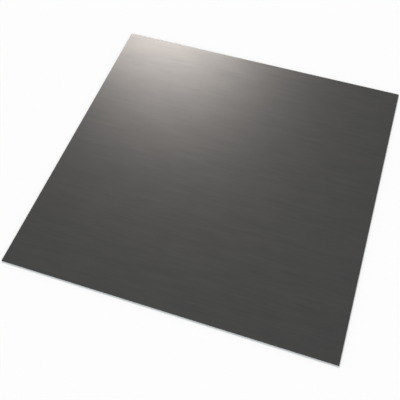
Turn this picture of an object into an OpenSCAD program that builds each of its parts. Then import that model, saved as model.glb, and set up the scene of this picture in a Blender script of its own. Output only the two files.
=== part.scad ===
// Square steel plate, rolled flat and cut to size on a guillotine shear.
// Millimetres, +Z up. The origin is the middle of the underside, and X is the rolling direction.

/* [Plate] */
// Length along the rolling direction
plate_length = 500; // [50:1:3000]
// Width across the rolling direction
plate_width = 500; // [50:1:1500]
// Thickness of the stock
plate_thickness = 2; // [0.8:0.1:6]

/* [Sheared edge] */
// Gap between the shear's blades, which the break leans across
blade_gap = 0.14; // [0.02:0.01:0.3]
// Width of the bevel that takes off the burr
burr_bevel = 0.1; // [0.02:0.01:0.2]
// How deep the skin rolls over where a blade went in, as a share of the thickness
rollover_depth_share = 0.06; // [0.02:0.01:0.1]
// Radius of that rollover, as a share of the thickness
rollover_radius_share = 0.2; // [0.15:0.05:0.4]
// Height of the burnished land that the blade cut before the steel broke, as a share of the thickness
land_share = 0.35; // [0.2:0.05:0.6]

/* [Hidden] */
$fn = 96;
rollover_depth = rollover_depth_share * plate_thickness;
rollover_radius = rollover_radius_share * plate_thickness;
// The arc leaves the face smoothly and has fallen by the rollover's depth at the cut
rollover_width = sqrt(rollover_depth * (2 * rollover_radius - rollover_depth));
land_height = land_share * plate_thickness;
// How far each cut and crossing shape runs past the steel
overrun = plate_thickness;

// One half of a section, from its middle line out to a cut edge that a blade entered from above
module cut_half(half_span) {
    land_bottom = plate_thickness - rollover_depth - land_height;
    break_foot = half_span - blade_gap;
    rollover_start = half_span - rollover_width;
    difference() {
        polygon([
            [0, 0],
            [break_foot - burr_bevel, 0],
            [break_foot, burr_bevel],
            [half_span, land_bottom],
            [half_span, plate_thickness],
            [0, plate_thickness]
        ]);
        translate([rollover_start, plate_thickness - rollover_radius])
            difference() {
                square([rollover_width + overrun, rollover_radius + overrun]);
                circle(rollover_radius);
            }
    }
}

// A whole section. One of two opposite edges lay on the shear's table and the other hung over it,
// so the blades met them from opposite faces and each half is the other, turned over.
module sheared_section(span) {
    middle = [0, plate_thickness / 2];
    for (turn = [0, 180])
        translate(middle)
            rotate(turn)
                translate(-middle)
                    cut_half(span / 2);
}

// The plate is what two pairs of straight cuts leave: the section across each pair, run through the other
module steel_plate() {
    color("#4a4948")
        intersection() {
            rotate([90, 0, 0])
                linear_extrude(plate_width + overrun, center = true)
                    sheared_section(plate_length);
            rotate([90, 0, 90])
                linear_extrude(plate_length + overrun, center = true)
                    sheared_section(plate_width);
        }
}

steel_plate();
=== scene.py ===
import math

import bpy
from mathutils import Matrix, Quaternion, Vector


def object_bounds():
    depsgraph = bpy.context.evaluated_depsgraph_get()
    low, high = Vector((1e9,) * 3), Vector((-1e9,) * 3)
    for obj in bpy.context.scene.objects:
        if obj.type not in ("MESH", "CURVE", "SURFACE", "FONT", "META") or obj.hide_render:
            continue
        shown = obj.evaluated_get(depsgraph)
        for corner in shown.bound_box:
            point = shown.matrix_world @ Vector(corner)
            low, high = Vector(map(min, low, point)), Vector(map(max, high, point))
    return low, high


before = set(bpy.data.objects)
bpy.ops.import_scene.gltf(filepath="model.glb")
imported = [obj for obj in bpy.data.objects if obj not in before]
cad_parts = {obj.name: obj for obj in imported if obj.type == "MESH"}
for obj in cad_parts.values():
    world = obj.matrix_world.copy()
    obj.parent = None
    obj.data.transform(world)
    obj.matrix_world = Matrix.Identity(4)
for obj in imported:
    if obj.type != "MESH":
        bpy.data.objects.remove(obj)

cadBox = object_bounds()
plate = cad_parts["steel_plate"]
plateMiddle = (cadBox[0] + cadBox[1]) / 2
mmPerMetre = 1000
print("frame loaded, plate", [round(side, 4) for side in cadBox[1] - cadBox[0]], "m")


def toLinear(hexColour):
    # sRGB hex to the linear colour that a socket takes
    values = [int(hexColour[start:start + 2], 16) / 255 for start in (1, 3, 5)]
    return [v / 12.92 if v <= 0.04045 else ((v + 0.055) / 1.055) ** 2.4 for v in values] + [1.0]


def addNode(tree, kind, inputs=None, **settings):
    # each input is a plain value, or an output of another node to link from
    node = tree.nodes.new(kind)
    for name, value in settings.items():
        setattr(node, name, value)
    for socket, value in (inputs or {}).items():
        if isinstance(value, bpy.types.NodeSocket):
            tree.links.new(value, node.inputs[socket])
        else:
            node.inputs[socket].default_value = value
    return node


# Finishes of the mild steel, by how each surface was made. The marks are drawn coarser and deeper
# than real ones, so that they show: a real roll mark is some 0.2 mm wide.
steelFinish = {
    # cold rolling leaves a satin grey skin with faint streaks along X. They lie mostly in the tone,
    # because deeper relief bakes to flecks, and the render's denoiser keeps them only above a
    # roughness of 0.274
    "mildSteelColdRolled": {
        "toneHex": ("#414141", "#464645"), "roughness": (0.2765, 0.2745), "reliefMm": 0.02,
        "markMm": (50, 4, 4), "patchMm": (60, 45, 45), "patchShare": 0.35,
    },
    # the blade burnishes the land that it cuts: bright, with fine upright scores
    "mildSteelSheared": {
        "toneHex": ("#434241", "#51504f"), "roughness": (0.2, 0.26), "reliefMm": 0.006,
        "markMm": (0.4, 0.4, 8), "patchMm": (25, 25, 25), "patchShare": 0.3,
    },
    # past the land the steel tears: dull and grainy, its darker tone painted shade of the rough break
    "mildSteelTorn": {
        "toneHex": ("#262524", "#363534"), "roughness": (0.5, 0.65), "reliefMm": 0.06,
        "markMm": (0.35, 0.35, 0.35), "patchMm": (12, 12, 12), "patchShare": 0.3,
    },
    # the file that takes off the burr leaves clean metal, scratched along the edge
    "mildSteelFiled": {
        "toneHex": ("#51504f", "#5f5e5d"), "roughness": (0.3, 0.4), "reliefMm": 0.004,
        "markMm": (6, 6, 0.2), "patchMm": (30, 30, 30), "patchShare": 0.3,
    },
}
markRange = (0.3, 0.7)  # the part of a noise's reach that the tones and the roughness spread over
edgeTint = (0.6, 0.6, 0.6, 1.0)  # a metal's reflection hardly rises until the view is almost level


def steelMaterial(name, look):
    # fine marks and broad faint patches set the tone and the roughness, and the marks alone the relief
    material = bpy.data.materials.new(name)
    material.use_nodes = True
    tree = material.node_tree
    tree.nodes.clear()
    place = addNode(tree, "ShaderNodeTexCoord").outputs["Object"]
    noises = []
    for sizeMm in (look["markMm"], look["patchMm"]):
        perMetre = [mmPerMetre / size for size in sizeMm]
        stretched = addNode(tree, "ShaderNodeMapping", {"Vector": place, "Scale": perMetre})
        noise = addNode(tree, "ShaderNodeTexNoise", {"Vector": stretched.outputs["Vector"], "Scale": 1.0})
        noises.append(noise.outputs["Fac"])
    marks, patches = noises
    mixed = addNode(tree, "ShaderNodeMix", {
        "Factor": look["patchShare"], "A": marks, "B": patches}).outputs["Result"]
    tone = addNode(tree, "ShaderNodeValToRGB", {"Fac": mixed})
    for stop, hexColour, spot in zip(tone.color_ramp.elements, look["toneHex"], markRange):
        stop.color = toLinear(hexColour)
        stop.position = spot
    rough = addNode(tree, "ShaderNodeMapRange", {
        "Value": mixed, "From Min": markRange[0], "From Max": markRange[1],
        "To Min": look["roughness"][0], "To Max": look["roughness"][1]})
    relief = addNode(tree, "ShaderNodeBump", {"Height": marks, "Distance": look["reliefMm"] / mmPerMetre})
    shader = addNode(tree, "ShaderNodeBsdfPrincipled", {
        "Base Color": tone.outputs["Color"], "Metallic": 1.0, "Roughness": rough.outputs["Result"],
        "Specular Tint": edgeTint, "Normal": relief.outputs["Normal"]})
    addNode(tree, "ShaderNodeOutputMaterial", {"Surface": shader.outputs["BSDF"]})
    return material


# The least tilt of each finish's faces towards the side that the blade entered
leastTilt = {
    "mildSteelColdRolled": 0.05,
    "mildSteelSheared": -0.05,
    "mildSteelTorn": -0.5,
    "mildSteelFiled": -1.0,
}
flatTilt = 0.98  # above this a face belongs to the top or the underside


def finishOf(normal):
    # the blades entered the +X and +Y edges from above, and the -X and -Y edges from below
    if abs(normal.z) > flatTilt:
        return "mildSteelColdRolled"
    outward = normal.x if abs(normal.x) > abs(normal.y) else normal.y
    tilt = normal.z * math.copysign(1, outward)
    return next(finish for finish, least in leastTilt.items() if tilt >= least)


finishes = list(steelFinish)
plate.data.materials.clear()
for finish in finishes:
    plate.data.materials.append(steelMaterial(finish, steelFinish[finish]))
for face in plate.data.polygons:
    face.material_index = finishes.index(finishOf(face.normal))
print(len(finishes), "finishes on", len(plate.data.polygons), "faces")


def aimed(place, target, roll=0):
    # rotation of a lamp or camera at a place that looks at a target, with a roll in degrees
    level = (Vector(target) - Vector(place)).to_track_quat("-Z", "Y")
    return (level @ Quaternion((0, 0, 1), math.radians(roll))).to_euler()


def around(azimuth, elevation, distance, target):
    # a place seen from the target at an azimuth from the front and an elevation, in degrees
    turn, rise = math.radians(azimuth), math.radians(elevation)
    away = Vector((math.sin(turn) * math.cos(rise), -math.cos(turn) * math.cos(rise), math.sin(rise)))
    return Vector(target) + away * distance


# Studio: a pale room, as bright as the lit floor wherever the camera or the steel sees it
studio = {
    "floorSize": 40,
    "floorHex": "#f6f9fa",  # a little cool, to even out the warm key
    "floorDrop": 0.00005,  # keeps the floor and the plate's underside from flickering
    "roomHex": "#ffffff",
    "roomSeen": 0.976,
    "roomLight": 0.545,  # what the room adds to the light on the floor
}
bpy.ops.object.select_all(action="DESELECT")
bpy.ops.mesh.primitive_plane_add(size=studio["floorSize"], location=(0, 0, -studio["floorDrop"]))
floor = bpy.context.object
floor.name = "floor"
paper = bpy.data.materials.new("mattePaper")  # uncoated paper scatters all light, so it has no sheen
paper.use_nodes = True
paperShader = paper.node_tree.nodes["Principled BSDF"]
paperShader.inputs["Base Color"].default_value = toLinear(studio["floorHex"])
paperShader.inputs["Roughness"].default_value = 1.0
paperShader.inputs["Specular IOR Level"].default_value = 0.0
floor.data.materials.append(paper)

room = bpy.data.worlds.new("studioRoom")
bpy.context.scene.world = room
room.use_nodes = True
roomTree = room.node_tree
roomTree.nodes.clear()
rays = addNode(roomTree, "ShaderNodeLightPath").outputs
seen = rays["Is Camera Ray"]
for rayKind in ("Is Glossy Ray", "Is Transmission Ray"):
    either = addNode(roomTree, "ShaderNodeMath", {0: seen, 1: rays[rayKind]}, operation="ADD")
    seen = either.outputs["Value"]
brightness = addNode(roomTree, "ShaderNodeMapRange", {
    "Value": seen, "To Min": studio["roomLight"], "To Max": studio["roomSeen"]})
glow = addNode(roomTree, "ShaderNodeBackground", {
    "Color": toLinear(studio["roomHex"]), "Strength": brightness.outputs["Result"]})
addNode(roomTree, "ShaderNodeOutputWorld", {"Surface": glow.outputs["Background"]})

# Soft lights, as far off as the sun so that they light the floor evenly. A spread is the angle
# that a light fills, in degrees. The plate mirrors the key from behind on the left.
lampDistance = 2  # where the lamps are drawn
softLights = {
    "keyLight": {"azimuth": 203.2, "elevation": 35.15, "spread": 16, "strength": 1.99, "hex": "#fff6f1"},
    "fillLight": {"azimuth": 20, "elevation": 30, "spread": 30, "strength": 1.0, "hex": "#fbfcff"},
}
for name, light in softLights.items():
    place = around(light["azimuth"], light["elevation"], lampDistance, plateMiddle)
    bpy.ops.object.light_add(type="SUN", location=place, rotation=aimed(place, plateMiddle))
    lamp = bpy.context.object
    lamp.name = name
    lamp.data.angle = math.radians(light["spread"])
    lamp.data.energy = light["strength"]
    lamp.data.color = toLinear(light["hex"])[:3]
print("studio lit by", ", ".join(softLights))

# Camera at the photograph's viewing angle
cameraView = {
    "azimuth": 18.98,
    "elevation": 57.42,
    "roll": -0.86,
    "distance": 0.941,
    "target": (0.0097, -0.056, 0.002),
    "lens": 54.74,
    "shiftX": -0.03,
}
target = cameraView["target"]
eye = around(cameraView["azimuth"], cameraView["elevation"], cameraView["distance"], target)
bpy.ops.object.camera_add(location=eye, rotation=aimed(eye, target, cameraView["roll"]))
camera = bpy.context.object
camera.data.lens = cameraView["lens"]
camera.data.shift_x = cameraView["shiftX"]
bpy.context.scene.camera = camera
bpy.context.scene.view_settings.view_transform = "Standard"
